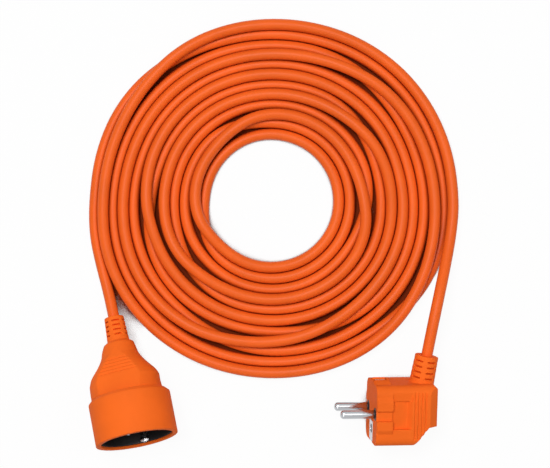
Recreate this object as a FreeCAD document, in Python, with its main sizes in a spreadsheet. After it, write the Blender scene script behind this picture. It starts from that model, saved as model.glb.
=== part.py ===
import FreeCAD, Part
import math
import os
import re
import Sketcher
from FreeCAD import Placement, Rotation, Vector

# Extension cord, laid out as it is sold: a moulded angled plug, a moulded coupler socket and the
# cord between them wound in a flat round coil. Millimetres, +Z up, the ground at Z = 0. The origin
# is on the ground under the middle of the box round the plug and the socket.
#
# The plug has a frame of its own: origin at the middle of its face, +Z out along the pins, the pins
# on its X axis and the cord leaving towards +Y. The socket's frame starts where the cord enters its
# strain relief, with +Z out of the mouth and the contacts on its X axis.

doc = FreeCAD.newDocument("extension_cord")
sheet = doc.addObject("Spreadsheet::Sheet", "sizes")

# Cord
cord_sizes = [
    ("cord_diameter", 6.2, "sheath over three cores"),
    ("cord_sides", 5, "flats round the sheath"),
    ("core_diameter", 2.3, "insulated core"),
    ("core_sides", 4, "flats round a core"),
    ("core_circle", 1.33, "radius on which the three cores lie"),
    ("coil_outside", 98.4, "outermost turn, to the middle of the cord"),
    ("coil_inside", 36.9, "innermost turn, to the middle of the cord"),
    ("coil_turns", 5.5, "turns in each of the two layers"),
    ("coil_clearance", 0.7, "rise from layer to layer, above the height of the cord"),
    ("coil_across", 5.14, "middle of the coil, to the right of the origin"),
    ("coil_along", 100.15, "middle of the coil, beyond the origin"),
    ("lead_start", 14.0, "straight run out of a strain relief"),
    ("lead_finish", "=2 * cord_diameter", "straight run into the coil"),
    ("socket_bend_inset", 5.6, "outermost turn to the socket lead's bend, across"),
    ("socket_bend_along", 35.5, "middle of the coil to that bend, along"),
    ("socket_bend_rise", 1.0, "lower layer to that bend"),
    ("plug_bend_inset", 7.7, "outermost turn to the plug lead's first bend, across"),
    ("plug_bend_along", 52.5, "middle of the coil to that bend, along"),
    ("plug_bend_rise", 18.0, "lower layer to that bend"),
    ("coil_bend_inset", 3.8, "outermost turn to the plug lead's next bend, across"),
    ("coil_bend_along", 36.5, "middle of the coil to that bend, along"),
    ("coil_bend_rise", 11.5, "lower layer to that bend"),
]

# Ends of the cores inside the mouldings
core_sizes = [
    ("core_leaving", 3.0, "straight start of a core, out of the sheath"),
    ("pin_core_run", 6.5, "straight end of a core, up to its pin"),
    ("strap_core_run", 3.5, "straight end of the earth core, up to the plug's strap"),
    ("strap_core_side", 5.0, "middle of the plug to the earth core's end"),
    ("sleeve_core_run", 2.5, "straight end of a core, up to its contact sleeve"),
    ("clip_core_run", 8.0, "straight end of the earth core, up to the socket's strap"),
]

# Contact layout that the plug and the socket share
contact_sizes = [
    ("pin_spacing", 19.0, "between the middles of the two pins"),
    ("pin_diameter", 4.8, "live pins"),
    ("pin_reach", 19.0, "pins beyond the plug's face"),
    ("pin_clearance", 0.2, "on the diameter, in the contact sleeves"),
    ("strip_thickness", 0.8, "earth straps"),
]

# Plug
plug_sizes = [
    ("plug_radius", 18.0, "round face"),
    ("plug_disc_depth", 9.0, "depth of the round front"),
    ("plug_edge", 1.0, "bevel round the face"),
    ("plug_length", 34.2, "from the face to the back plate"),
    ("plug_back_half", 15.0, "half the width of the body behind the disc"),
    ("plug_top", 16.0, "middle to the side where the cord leaves"),
    ("plug_foot", 17.3, "middle to the opposite side"),
    ("plug_corner", 5.0, "rounding along the body"),
    ("plug_heel_drop", 6.8, "middle to the lower end of the back plate"),
    ("heel_height", 4.9, "slanting foot to the back plate"),
    ("plug_heel_depth", "=plug_length - heel_height", "face to the start of the slanting foot"),
    ("heel_run", 8.8, "slanting foot, along the pins"),
    ("plug_shoulder", 2.0, "bevel of the back plate beside the strain relief"),
    ("side_bevel_run", 4.5, "bevel from each side to the back plate, along the pins"),
    ("side_bevel_rise", 3.4, "the same, across the pins"),
    ("disc_flat", 16.3, "middle to the flat on each side of the disc"),
    ("groove_width", 5.5, "guide groove in each side of the disc"),
    ("groove_depth", 1.9, "guide groove, below the flat"),
    ("thumb_start", "=plug_disc_depth", "face to the thumb recess"),
    ("thumb_front", 1.4, "depth of the thumb recess where it starts"),
    ("thumb_deep", 17.2, "face to its deepest part"),
    ("thumb_end", 19.9, "face to its end"),
    ("thumb_depth", 2.6, "thumb recess"),
    ("thumb_top", 7.8, "upper end of the thumb recess"),
    ("thumb_bottom", 7.5, "lower end of the thumb recess"),
    ("panel_top", 14.4, "upper end of the sloping panel"),
    ("panel_depth", 1.2, "sloping panel where it meets the recess"),
    ("grip_start", 21.0, "face to the first grip groove"),
    ("grip_pitch", 1.93, "grip grooves"),
    ("grip_count", 4, "grip grooves on each side"),
    ("grip_width", 0.9, "grip groove"),
    ("grip_depth", 0.6, "grip groove"),
    ("grip_top", 14.0, "upper end of the grip grooves"),
    ("grip_bottom", 13.5, "lower end of the grip grooves"),
    ("relief_radius", 6.25, "plug's strain relief"),
    ("relief_length", 14.4, "strain relief"),
    ("relief_set", 6.6, "back plate to the middle of the strain relief"),
    ("relief_depth", "=plug_length - relief_set", "face to the middle of the strain relief"),
    ("relief_lean", 9.5, "degrees, away from the face"),
    ("relief_twist", 29.0, "degrees, from a row of slots to the pins' side"),
    ("relief_root", 4.0, "how far the strain relief runs into the body"),
    ("plug_cord_hold", 21.0, "length of sheath held in the plug"),
    ("collar_radius", 3.6, "insulating collar round each pin"),
    ("bridge_half", 4.0, "half the width of the pin bridge"),
    ("bridge_front", 2.0, "face to the pin bridge"),
    ("bridge_back", 9.0, "face to the back of the pin bridge"),
    ("shank_radius", 2.1, "pins behind the face"),
    ("pin_end", 12.0, "face to the back end of the pins"),
    ("pin_tip_radius", 1.5, "flat end of a pin"),
    ("pin_tip_taper", 0.9, "length of the tapered tip"),
    ("strap_width", 6.0, "plug's earth strap"),
    ("strap_rim", 16.9, "middle to the outside of the side contacts"),
    ("strap_rim_depth", 7.6, "face to the end of the side contacts"),
    ("strap_rim_start", 1.5, "face to the start of the upper side contact"),
    ("strap_inner", 14.0, "half the spread of the strap inside the body"),
    ("strap_back", 17.8, "face to the back of the strap"),
    ("earth_offset", 10.0, "middle of the face to the earth receptacle"),
    ("earth_plate_half", 4.4, "half the width of the earth plate"),
    ("earth_plate_top", 5.5, "middle of the face to the earth plate"),
    ("sleeve_wall", 0.5, "earth receptacle"),
]

# Socket
socket_sizes = [
    ("socket_length", 69.6, "from the end of the strain relief to the mouth"),
    ("recess_radius", 19.75, "recess that takes a plug"),
    ("recess_depth", 17.5, "recess"),
    ("lip_depth", 1.5, "housing's lip in front of the insert"),
    ("insert_wall", 1.25, "insert's side wall"),
    ("insert_bottom", 2.5, "insert's floor"),
    ("collar_wall", 1.55, "housing round the insert"),
    ("socket_mouth", "=recess_radius + insert_wall + collar_wall", "radius of the collar"),
    ("collar_bevel", 2.0, "bevel at the back of the collar"),
    ("collar_length", 25.1, "collar"),
    ("socket_collar_start", "=socket_length - collar_length", "strain relief to the collar"),
    ("collar_step", 3.4, "neck to the outside of the collar"),
    ("neck_front", "=socket_mouth - collar_step", "radius of the neck at the collar"),
    ("neck_middle", 14.0, "radius where the neck's curve turns over"),
    ("bulge_length", 16.5, "that place to the collar"),
    ("neck_middle_at", "=socket_collar_start - bulge_length", "strain relief to that place"),
    ("neck_hollow", 0.75, "depth of the neck's hollow curve"),
    ("neck_bulge", 1.5, "height of the neck's bulging curve"),
    ("neck_back", 8.3, "radius of the neck at its step"),
    ("neck_back_at", 15.3, "end of the strain relief to the step"),
    ("boot_length", 13.0, "slotted part of the strain relief"),
    ("boot_radius", 5.3, "slotted part of the strain relief"),
    ("boot_flare", 0.7, "start of the flare up to the neck's step"),
    ("flat_back", 8.6, "axis to the thumb flat, at the neck's step"),
    ("flat_cut", 3.45, "depth of the thumb flat at the collar"),
    ("flat_front", "=neck_front - flat_cut", "axis to the thumb flat, at the collar"),
    ("rib_length", 20.0, "first cross groove to the collar"),
    ("cross_rib_start", "=socket_collar_start - rib_length", "strain relief to that groove"),
    ("cross_rib_pitch", 1.9, "cross grooves"),
    ("cross_rib_count", 5, "cross grooves on each flat"),
    ("cross_rib_width", 0.9, "cross groove"),
    ("cross_rib_depth", 0.45, "cross groove"),
    ("guide_width", 4.9, "guide rib on each side of the recess"),
    ("guide_height", 2.1, "guide rib"),
    ("guide_front", 3.0, "mouth to the front end of the guide ribs"),
    ("carrier_half", 5.0, "half the width of the contact base"),
    ("carrier_depth", 3.2, "contact base"),
    ("contact_wall", 0.6, "contact sleeves"),
    ("contact_length", 18.5, "contact sleeves"),
    ("slit_width", 0.8, "slit down each side of a sleeve"),
    ("slit_length", 12.0, "slit"),
    ("clip_width", 6.5, "socket's earth clips"),
    ("clip_room", 1.25, "earth clips to the wall of the recess"),
    ("clip_outer", "=recess_radius - clip_room", "axis to the outside of the earth clips"),
    ("clip_bend", 2.0, "floor of the recess to the bend of the clips"),
    ("clip_bulge", 1.0, "inward bulge of the earth clips"),
    ("clip_bulge_at", 8.0, "mouth to the bulge"),
    ("clip_front", 4.5, "mouth to the free end of the clips"),
    ("socket_cord_hold", 19.0, "length of sheath held in the socket"),
]

# Slots that make both strain reliefs flexible
slot_sizes = [
    ("slot_rows", 4, "rows along the strain relief"),
    ("slot_columns", 4, "slots round the strain relief"),
    ("slot_width", 1.2, "along the strain relief"),
    ("slot_depth", 1.5, "into the strain relief"),
    ("plug_slot_pitch", 3.04, "plug's strain relief"),
    ("plug_slot_start", 2.2, "first row, from the thin end"),
    ("plug_slot_length", 8.4, "across each slot"),
    ("socket_slot_pitch", 2.65, "socket's strain relief"),
    ("socket_slot_start", 2.0, "first row, from the thin end"),
    ("socket_slot_length", 6.8, "across each slot"),
]

# How the two connectors lie on the ground
lie_sizes = [
    ("socket_tip_across", -82.76, "where the cord enters the socket"),
    ("socket_tip_along", 35.65, "where the cord enters the socket"),
    ("socket_turn", 12.2, "degrees, mouth to the right of straight down"),
    ("socket_tilt", 16.0, "degrees, mouth raised"),
    ("socket_roll", 10.0, "degrees, about its axis"),
    ("plug_tip_across", 89.25, "where the cord enters the plug"),
    ("plug_tip_along", 15.5, "where the cord enters the plug"),
    ("plug_tilt", 8.2, "degrees, pins raised"),
    ("plug_roll", 8.2, "degrees, about its pins"),
]

row = 0
for group in (cord_sizes, core_sizes, contact_sizes, plug_sizes, socket_sizes, slot_sizes, lie_sizes):
    for alias, number, note in group:
        row += 1
        sheet.set("A%d" % row, note)
        sheet.set("B%d" % row, str(number))
        sheet.setAlias("B%d" % row, alias)
doc.recompute()


def formula(text):
    """An expression, from a text that names sizes by their aliases."""
    return re.sub(r"[a-z]+(?:_[a-z]+)+", lambda found: "sizes." + found.group(), text)


def value(text):
    return float(sheet.evalExpression(formula(text)))


def originPart(body, role):
    return next(part for part in body.Origin.OriginFeatures if part.Role == role)


def newBody(label):
    body = doc.addObject("PartDesign::Body", label)
    body.Label = label
    return body


def newSketch(body, name, role, height=None):
    sketch = body.newObject("Sketcher::SketchObject", name)
    sketch.AttachmentSupport = [(originPart(body, role), "")]
    sketch.MapMode = "FlatFace"
    if height is not None:
        sketch.setExpression("AttachmentOffset.Base.z", formula(height))
    return sketch


def holdPoint(sketch, edge, end, x, y):
    """Fixes one end of an edge at its two distances from the sketch's origin."""
    for kind, axis, text in (("DistanceX", -2, x), ("DistanceY", -1, y)):
        if text == "0":
            sketch.addConstraint(Sketcher.Constraint("PointOnObject", edge, end, axis))
        else:
            index = sketch.addConstraint(
                Sketcher.Constraint(kind, -1, 1, edge, end, value(text)))
            sketch.setExpression("Constraints[%d]" % index, formula(text))


def drawOutline(sketch, outline):
    """A closed outline. A corner is (x, y) after a line, or (x, y, radius, side) after an arc whose
    middle lies to that side of the way along it. A fifth word makes it tangent to the edge before."""
    points = [Vector(value(corner[0]), value(corner[1]), 0) for corner in outline]
    ends = []
    for index, corner in enumerate(outline):
        start = points[index - 1]
        finish = points[index]
        if len(corner) == 2:
            ends.append((sketch.addGeometry(Part.LineSegment(start, finish)), 1, 2))
            continue
        radius = value(corner[2])
        chord = finish - start
        turn = 1 if corner[3] == "left" else -1
        across = Vector(-chord.y, chord.x, 0).normalize() * turn
        rise = math.sqrt(max(radius ** 2 - chord.Length ** 2 / 4, 0))
        middle = (start + finish) / 2 + across * rise
        first, last = (start, finish) if turn > 0 else (finish, start)
        angles = [math.atan2(p.y - middle.y, p.x - middle.x) for p in (first, last)]
        if angles[1] < angles[0]:
            angles[1] += 2 * math.pi
        arc = Part.ArcOfCircle(Part.Circle(middle, Vector(0, 0, 1), radius), *angles)
        edge = sketch.addGeometry(arc)
        ends.append((edge, 1, 2) if turn > 0 else (edge, 2, 1))
        if rise < 1e-6:
            sketch.addConstraint(Sketcher.Constraint("Symmetric", edge, 1, edge, 2, edge, 3))
        elif len(corner) == 4:
            held = sketch.addConstraint(Sketcher.Constraint("Radius", edge, radius))
            sketch.setExpression("Constraints[%d]" % held, formula(corner[2]))
    for index, corner in enumerate(outline):
        edge, begin, end = ends[index]
        before, unused, before_end = ends[index - 1]
        joint = "Tangent" if len(corner) == 5 else "Coincident"
        sketch.addConstraint(Sketcher.Constraint(joint, before, before_end, edge, begin))
        holdPoint(sketch, edge, end, corner[0], corner[1])


def drawCircle(sketch, x, y, radius):
    middle = Vector(value(x), value(y), 0)
    edge = sketch.addGeometry(Part.Circle(middle, Vector(0, 0, 1), value(radius)))
    index = sketch.addConstraint(Sketcher.Constraint("Radius", edge, value(radius)))
    sketch.setExpression("Constraints[%d]" % index, formula(radius))
    holdPoint(sketch, edge, 3, x, y)


def slab(outline_x, outline_y, half_x, half_y):
    """Corners of a plain rectangle round a middle."""
    return [
        ("%s - (%s)" % (outline_x, half_x), "%s - (%s)" % (outline_y, half_y)),
        ("%s + (%s)" % (outline_x, half_x), "%s - (%s)" % (outline_y, half_y)),
        ("%s + (%s)" % (outline_x, half_x), "%s + (%s)" % (outline_y, half_y)),
        ("%s - (%s)" % (outline_x, half_x), "%s + (%s)" % (outline_y, half_y)),
    ]


def extrude(body, kind, sketch, length, reverse=False, side="One side", other=None):
    """A pad or a pocket. A pocket has to take something away."""
    before = body.Shape.Volume if body.Tip else 0
    feature = body.newObject("PartDesign::" + kind, sketch.Name + "_" + kind.lower())
    feature.Profile = sketch
    feature.AllowMultiFace = True
    feature.SideType = side
    feature.setExpression("Length", formula(length))
    if other is not None:
        feature.setExpression("Length2", formula(other))
    feature.Reversed = reverse
    doc.recompute()
    if kind == "Pocket" and body.Shape.Volume > before - 0.01:
        raise RuntimeError(feature.Name + " takes nothing away")
    return feature


def revolve(body, sketch):
    feature = body.newObject("PartDesign::Revolution", sketch.Name + "_turned")
    feature.Profile = sketch
    feature.ReferenceAxis = (sketch, ["V_Axis"])
    feature.Angle = 360
    doc.recompute()
    return feature


def slots(body, name, rows, half_length):
    """Slots in several rows, repeated round the body's Z axis."""
    sketch = newSketch(body, name, "YZ_Plane")
    for start, radius in rows:
        drawOutline(sketch, [
            ("%s - slot_depth" % radius, start),
            ("%s + slot_depth" % radius, start),
            ("%s + slot_depth" % radius, "%s + slot_width" % start),
            ("%s - slot_depth" % radius, "%s + slot_width" % start),
        ])
    pocket = extrude(body, "Pocket", sketch, half_length, side="Symmetric")
    ring = body.newObject("PartDesign::PolarPattern", name + "_ring")
    ring.Originals = [pocket]
    ring.Axis = (originPart(body, "Z_Axis"), [""])
    ring.Angle = 360
    ring.setExpression("Occurrences", formula("slot_columns"))
    body.Tip = ring
    doc.recompute()
    return ring


def placed(item, frame):
    """Gives a finished piece its place and checks it."""
    item.Placement = frame.multiply(item.Placement)
    return item


def carve(label, whole, tools):
    """A moulding with the pieces that it encloses taken out of it."""
    inside = doc.addObject("Part::MultiFuse", label + "_inside")
    inside.Shapes = tools
    moulding = doc.addObject("Part::Cut", label)
    moulding.Base = whole
    moulding.Tool = inside
    moulding.Label = label
    doc.recompute()
    return moulding


# Cord routes and sections

RUN_SHARE = 0.45


def bentRoute(points):
    """Straight runs joined by tangent arcs, and the radii of the arcs."""
    edges = []
    radii = []
    begin = points[0]
    for before, corner, after in zip(points, points[1:], points[2:]):
        along = (corner - before).normalize()
        onward = (after - corner).normalize()
        half = along.getAngle(onward) / 2
        cut = RUN_SHARE * min(corner.distanceToPoint(before), corner.distanceToPoint(after))
        radius = cut / math.tan(half)
        radii.append(radius)
        inward = (onward - along).normalize()
        first = corner - along * cut
        last = corner + onward * cut
        top = corner + inward * (radius / math.cos(half) - radius)
        edges.append(Part.LineSegment(begin, first).toShape())
        edges.append(Part.Arc(first, top, last).toShape())
        begin = last
    edges.append(Part.LineSegment(begin, points[-1]).toShape())
    return Part.Wire(edges), radii


def flatSided(middle, along, diameter, sides):
    """A regular section square to a direction, inside the round one, with a flat underneath."""
    aside = along.cross(Vector(0, 0, 1))
    if aside.Length < 0.1:
        aside = Vector(1, 0, 0)
    aside.normalize()
    above = aside.cross(along).normalize()
    corners = []
    for corner in range(sides + 1):
        angle = 2 * math.pi * (corner + 0.5) / sides - math.pi / 2
        corners.append(middle + (aside * math.cos(angle) + above * math.sin(angle)) * diameter / 2)
    return Part.makePolygon(corners)


def sweep(label, wire, section):
    """One unbroken tube along a route, compared with its section times its length."""
    tube = wire.makePipeShell([section], True, False)
    expected = Part.Face(section).Area * wire.Length
    if abs(tube.Volume / expected - 1) > 0.01:
        raise RuntimeError("%s: volume %.1f, expected %.1f" % (label, tube.Volume, expected))
    item = doc.addObject("Part::Feature", label)
    item.Label = label
    item.Shape = tube
    return item


def core(label, points, diameter="core_diameter", sides="core_sides"):
    """An insulated core, or a held end of the sheath, inside a moulding."""
    section = flatSided(points[0], points[1] - points[0], value(diameter), int(value(sides)))
    wire = Part.makePolygon(points)
    item = doc.addObject("Part::Feature", label)
    item.Label = label
    item.Shape = wire.makePipeShell([section], True, False, 1)
    return item


# Plug, in its own frame

def signed(sign, text):
    return "%s(%s)" % (sign, text)


def makePlugShell():
    """The moulded housing: a round front, a body with grips and a slanting foot."""
    body = newBody("plug_shell")

    disc = newSketch(body, "plug_disc", "XZ_Plane")
    drawOutline(disc, [
        ("0", "0"),
        ("plug_radius - plug_edge", "0"),
        ("plug_radius", "-plug_edge"),
        ("plug_radius", "-plug_disc_depth"),
        ("0", "-plug_disc_depth"),
    ])
    revolve(body, disc)

    back = newSketch(body, "plug_back", "XY_Plane")
    drawOutline(back, [
        ("plug_back_half", "plug_top - plug_corner"),
        ("plug_back_half - plug_corner", "plug_top", "plug_corner", "left"),
        ("plug_corner - plug_back_half", "plug_top"),
        ("-plug_back_half", "plug_top - plug_corner", "plug_corner", "left"),
        ("-plug_back_half", "plug_corner - plug_foot"),
        ("plug_corner - plug_back_half", "-plug_foot", "plug_corner", "left"),
        ("plug_back_half - plug_corner", "-plug_foot"),
        ("plug_back_half", "plug_corner - plug_foot", "plug_corner", "left"),
    ])
    extrude(body, "Pad", back, "plug_length", reverse=True)

    foot = newSketch(body, "plug_foot_cut", "YZ_Plane")
    drawOutline(foot, [
        ("-plug_heel_drop", "-plug_length - 1"),
        ("-plug_heel_drop", "-plug_heel_depth"),
        ("-plug_foot - 1", "heel_run - plug_heel_depth"),
        ("-plug_foot - 1", "-plug_length - 1"),
    ])
    drawOutline(foot, [
        ("plug_top + 1", "-plug_length + plug_shoulder + 1"),
        ("plug_top - plug_shoulder - 1", "-plug_length - 1"),
        ("plug_top + 1", "-plug_length - 1"),
    ])
    extrude(body, "Pocket", foot, "4 * plug_back_half", side="Symmetric")

    bevels = newSketch(body, "plug_side_bevels", "XZ_Plane")
    for sign in ("", "-"):
        drawOutline(bevels, [
            (signed(sign, "plug_back_half + 1"), "side_bevel_run - plug_length"),
            (signed(sign, "plug_back_half"), "side_bevel_run - plug_length"),
            (signed(sign, "plug_back_half - side_bevel_rise"), "-plug_length"),
            (signed(sign, "plug_back_half + 1"), "-plug_length"),
        ])
    extrude(body, "Pocket", bevels, "4 * plug_back_half", side="Symmetric")

    flats = newSketch(body, "plug_disc_flats", "XY_Plane")
    grooves = newSketch(body, "plug_guide_grooves", "XY_Plane")
    for sign in ("", "-"):
        middle = signed(sign, "disc_flat + plug_radius / 2")
        drawOutline(flats, slab(middle, "0", "plug_radius / 2", "plug_radius"))
        middle = signed(sign, "disc_flat + plug_radius / 2 - groove_depth")
        drawOutline(grooves, slab(middle, "0", "plug_radius / 2", "groove_width / 2"))
    extrude(body, "Pocket", flats, "plug_disc_depth")
    extrude(body, "Pocket", grooves, "plug_disc_depth")

    windows = newSketch(body, "plug_side_contact_windows", "XY_Plane")
    for sign in ("", "-"):
        middle = signed(sign, "strap_rim + plug_radius / 2")
        drawOutline(windows, slab("0", middle, "strap_width / 2", "plug_radius / 2"))
    extrude(body, "Pocket", windows, "strap_rim_depth")

    thumb = newSketch(body, "plug_thumb_recess", "XZ_Plane")
    for sign in ("", "-"):
        drawOutline(thumb, [
            (signed(sign, "plug_back_half + 1"), "-thumb_start"),
            (signed(sign, "plug_back_half - thumb_front"), "-thumb_start"),
            (signed(sign, "plug_back_half - thumb_depth"), "-thumb_deep"),
            (signed(sign, "plug_back_half"), "-thumb_end"),
            (signed(sign, "plug_back_half + 1"), "-thumb_end"),
        ])
    extrude(body, "Pocket", thumb, "thumb_top", side="Two sides", other="thumb_bottom")

    panel = newSketch(body, "plug_panel", "XY_Plane", "-thumb_start")
    for sign in ("", "-"):
        drawOutline(panel, [
            (signed(sign, "plug_back_half"), "panel_top"),
            (signed(sign, "plug_back_half - panel_depth"), "thumb_top"),
            (signed(sign, "plug_back_half + 1"), "thumb_top"),
            (signed(sign, "plug_back_half + 1"), "panel_top"),
        ])
    extrude(body, "Pocket", panel, "thumb_end - thumb_start")

    grips = newSketch(body, "plug_grips", "XZ_Plane")
    for sign in ("", "-"):
        for count in range(int(value("grip_count"))):
            top = "-grip_start - %d * grip_pitch" % count
            drawOutline(grips, [
                (signed(sign, "plug_back_half + 1"), top),
                (signed(sign, "plug_back_half - grip_depth"), top),
                (signed(sign, "plug_back_half - grip_depth"), top + " - grip_width"),
                (signed(sign, "plug_back_half + 1"), top + " - grip_width"),
            ])
    extrude(body, "Pocket", grips, "grip_top", side="Two sides", other="grip_bottom")
    return body


def makePlugRelief():
    """The plug's slotted strain relief, along its own Z axis."""
    body = newBody("plug_relief")
    profile = newSketch(body, "plug_relief_profile", "XZ_Plane")
    drawOutline(profile, [
        ("0", "-relief_root"),
        ("relief_radius", "-relief_root"),
        ("relief_radius", "relief_length"),
        ("0", "relief_length"),
    ])
    revolve(body, profile)
    rows = []
    for count in range(int(value("slot_rows"))):
        start = "relief_length - slot_width - plug_slot_start - %d * plug_slot_pitch" % count
        rows.append((start, "relief_radius"))
    slots(body, "plug_relief_slots", rows, "plug_slot_length")
    return body


def makePinBridge():
    """The moulded carrier of the two pins, with an insulating collar round each."""
    body = newBody("plug_pin_bridge")
    block = newSketch(body, "bridge_outline", "XY_Plane", "-bridge_front")
    drawOutline(block, slab("0", "0", "pin_spacing / 2 + bridge_half", "bridge_half"))
    extrude(body, "Pad", block, "bridge_back - bridge_front", reverse=True)
    collars = newSketch(body, "bridge_collars", "XY_Plane", "-bridge_front")
    for sign in ("", "-"):
        drawCircle(collars, signed(sign, "pin_spacing / 2"), "0", "collar_radius")
    extrude(body, "Pad", collars, "bridge_front")
    holes = newSketch(body, "bridge_holes", "XY_Plane")
    for sign in ("", "-"):
        drawCircle(holes, signed(sign, "pin_spacing / 2"), "0", "shank_radius")
    extrude(body, "Pocket", holes, "bridge_back")
    return body


def makePin(label, sign):
    """A live pin with a tapered tip; its core is joined to its back end."""
    body = newBody(label)
    profile = newSketch(body, label + "_profile", "XZ_Plane")
    drawOutline(profile, [
        ("0", "-pin_end"),
        ("shank_radius", "-pin_end"),
        ("shank_radius", "0"),
        ("pin_diameter / 2", "0"),
        ("pin_diameter / 2", "pin_reach - pin_tip_taper"),
        ("pin_tip_radius", "pin_reach"),
        ("0", "pin_reach"),
    ])
    revolve(body, profile)
    body.Placement = Placement(Vector(value(signed(sign, "pin_spacing / 2")), 0, 0), Rotation())
    return body


def makePlugStrap():
    """The earth strap: a plate on the face, a contact on each side and a bridge behind."""
    body = newBody("plug_earth_strap")
    path = newSketch(body, "strap_path", "YZ_Plane")
    drawOutline(path, [
        ("strap_rim", "-strap_rim_start"),
        ("strap_rim", "-strap_rim_depth - strip_thickness"),
        ("strap_inner", "-strap_rim_depth - strip_thickness"),
        ("strap_inner", "-strap_back"),
        ("-strap_inner", "-strap_back"),
        ("-strap_inner", "-strap_rim_depth - strip_thickness"),
        ("-strap_rim", "-strap_rim_depth - strip_thickness"),
        ("-strap_rim", "0"),
        ("strip_thickness - strap_rim", "0"),
        ("strip_thickness - strap_rim", "-strap_rim_depth"),
        ("strip_thickness - strap_inner", "-strap_rim_depth"),
        ("strip_thickness - strap_inner", "strip_thickness - strap_back"),
        ("strap_inner - strip_thickness", "strip_thickness - strap_back"),
        ("strap_inner - strip_thickness", "-strap_rim_depth"),
        ("strap_rim - strip_thickness", "-strap_rim_depth"),
        ("strap_rim - strip_thickness", "-strap_rim_start"),
    ])
    extrude(body, "Pad", path, "strap_width", side="Symmetric")
    plate = newSketch(body, "strap_plate", "XY_Plane")
    drawOutline(plate, [
        ("-earth_plate_half", "strip_thickness - strap_rim"),
        ("earth_plate_half", "strip_thickness - strap_rim"),
        ("earth_plate_half", "-earth_plate_top"),
        ("-earth_plate_half", "-earth_plate_top"),
    ])
    extrude(body, "Pad", plate, "strip_thickness", reverse=True)
    hole = newSketch(body, "strap_hole", "XY_Plane", "1")
    drawCircle(hole, "0", "-earth_offset", "(pin_diameter + pin_clearance) / 2")
    extrude(body, "Pocket", hole, "strip_thickness + 1")
    return body


def makeEarthSleeve():
    """The earth receptacle, between the plate and the back of the strap."""
    body = newBody("plug_earth_sleeve")
    ring = newSketch(body, "earth_sleeve_ring", "XY_Plane", "-strip_thickness")
    bore = "(pin_diameter + pin_clearance) / 2"
    drawCircle(ring, "0", "-earth_offset", bore)
    drawCircle(ring, "0", "-earth_offset", bore + " + sleeve_wall")
    extrude(body, "Pad", ring, "strap_back - 2 * strip_thickness", reverse=True)
    return body


def roundTool(label, radius, length, place):
    """A plain cylinder, for the room that a sleeve or a hole takes."""
    item = doc.addObject("Part::Cylinder", label)
    item.Label = label
    item.setExpression("Radius", formula(radius))
    item.setExpression("Height", formula(length))
    item.Placement = place
    return item


# Socket, in its own frame

def hollowRings(count):
    """Rings of the neck between its step and the place where its curve turns over."""
    rings = []
    for index in range(1, count):
        share = "(%d / %d)" % (index, count)
        across = "neck_back + (neck_middle - neck_back) * %s - 4 * neck_hollow * %s * (1 - %s)" % (
            share, share, share)
        rings.append((across, "neck_back_at + (neck_middle_at - neck_back_at) * %s" % share))
    return rings


def bulgeRings(count):
    """Rings of the neck from there to the collar."""
    rings = []
    for index in range(1, count):
        share = "(%d / %d)" % (index, count)
        across = "neck_middle + (neck_front - neck_middle) * %s + 4 * neck_bulge * %s * (1 - %s)" % (
            share, share, share)
        rings.append((across, "neck_middle_at + (socket_collar_start - neck_middle_at) * %s" % share))
    return rings


def makeSocketShell():
    """The moulded housing, turned about its axis, with its two thumb flats and its recess."""
    body = newBody("socket_shell")
    profile = newSketch(body, "socket_profile", "XZ_Plane")
    drawOutline(profile, [
        ("0", "0"),
        ("boot_radius", "0"),
        ("boot_radius", "boot_length"),
        ("boot_radius + boot_flare", "boot_length + boot_flare"),
        ("neck_back", "neck_back_at"),
    ] + hollowRings(2) + [("neck_middle", "neck_middle_at")] + bulgeRings(2) + [
        ("neck_front", "socket_collar_start"),
        ("socket_mouth - collar_bevel", "socket_collar_start"),
        ("socket_mouth", "socket_collar_start + collar_bevel"),
        ("socket_mouth", "socket_length"),
        ("0", "socket_length"),
    ])
    revolve(body, profile)

    flats = newSketch(body, "socket_thumb_flats", "YZ_Plane")
    for sign in ("", "-"):
        drawOutline(flats, [
            (signed(sign, "flat_back"), "neck_back_at"),
            (signed(sign, "flat_front"), "socket_collar_start"),
            (signed(sign, "socket_mouth"), "socket_collar_start"),
            (signed(sign, "socket_mouth"), "neck_back_at"),
        ])
    extrude(body, "Pocket", flats, "4 * neck_front", side="Symmetric")

    ribs = newSketch(body, "socket_cross_grooves", "YZ_Plane")
    for sign in ("", "-"):
        for count in range(int(value("cross_rib_count"))):
            near = "(cross_rib_start + %d * cross_rib_pitch)" % count
            far = "(%s + cross_rib_width)" % near
            drawOutline(ribs, [
                (signed(sign, flatAt(near) + " - cross_rib_depth"), near),
                (signed(sign, flatAt(far) + " - cross_rib_depth"), far),
                (signed(sign, flatAt(far) + " + 2"), far),
                (signed(sign, flatAt(near) + " + 2"), near),
            ])
    extrude(body, "Pocket", ribs, "2 * neck_front", side="Symmetric")

    recess = newSketch(body, "socket_recess", "XY_Plane", "socket_length")
    drawCircle(recess, "0", "0", "recess_radius")
    extrude(body, "Pocket", recess, "recess_depth")

    rows = []
    for count in range(int(value("slot_rows"))):
        rows.append(("(socket_slot_start + %d * socket_slot_pitch)" % count, "boot_radius"))
    slots(body, "socket_relief_slots", rows, "socket_slot_length")
    return body


def flatAt(station):
    """How far a thumb flat lies from the axis, at a distance along it."""
    slope = "(flat_front - flat_back) / (socket_collar_start - neck_back_at)"
    return "(flat_back + (%s - neck_back_at) * %s)" % (station, slope)


FLOOR = "(socket_length - recess_depth)"
FLOOR_BACK = "(socket_length - recess_depth - insert_bottom)"
BASE_BACK = "(socket_length - recess_depth - insert_bottom - carrier_depth)"


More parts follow.
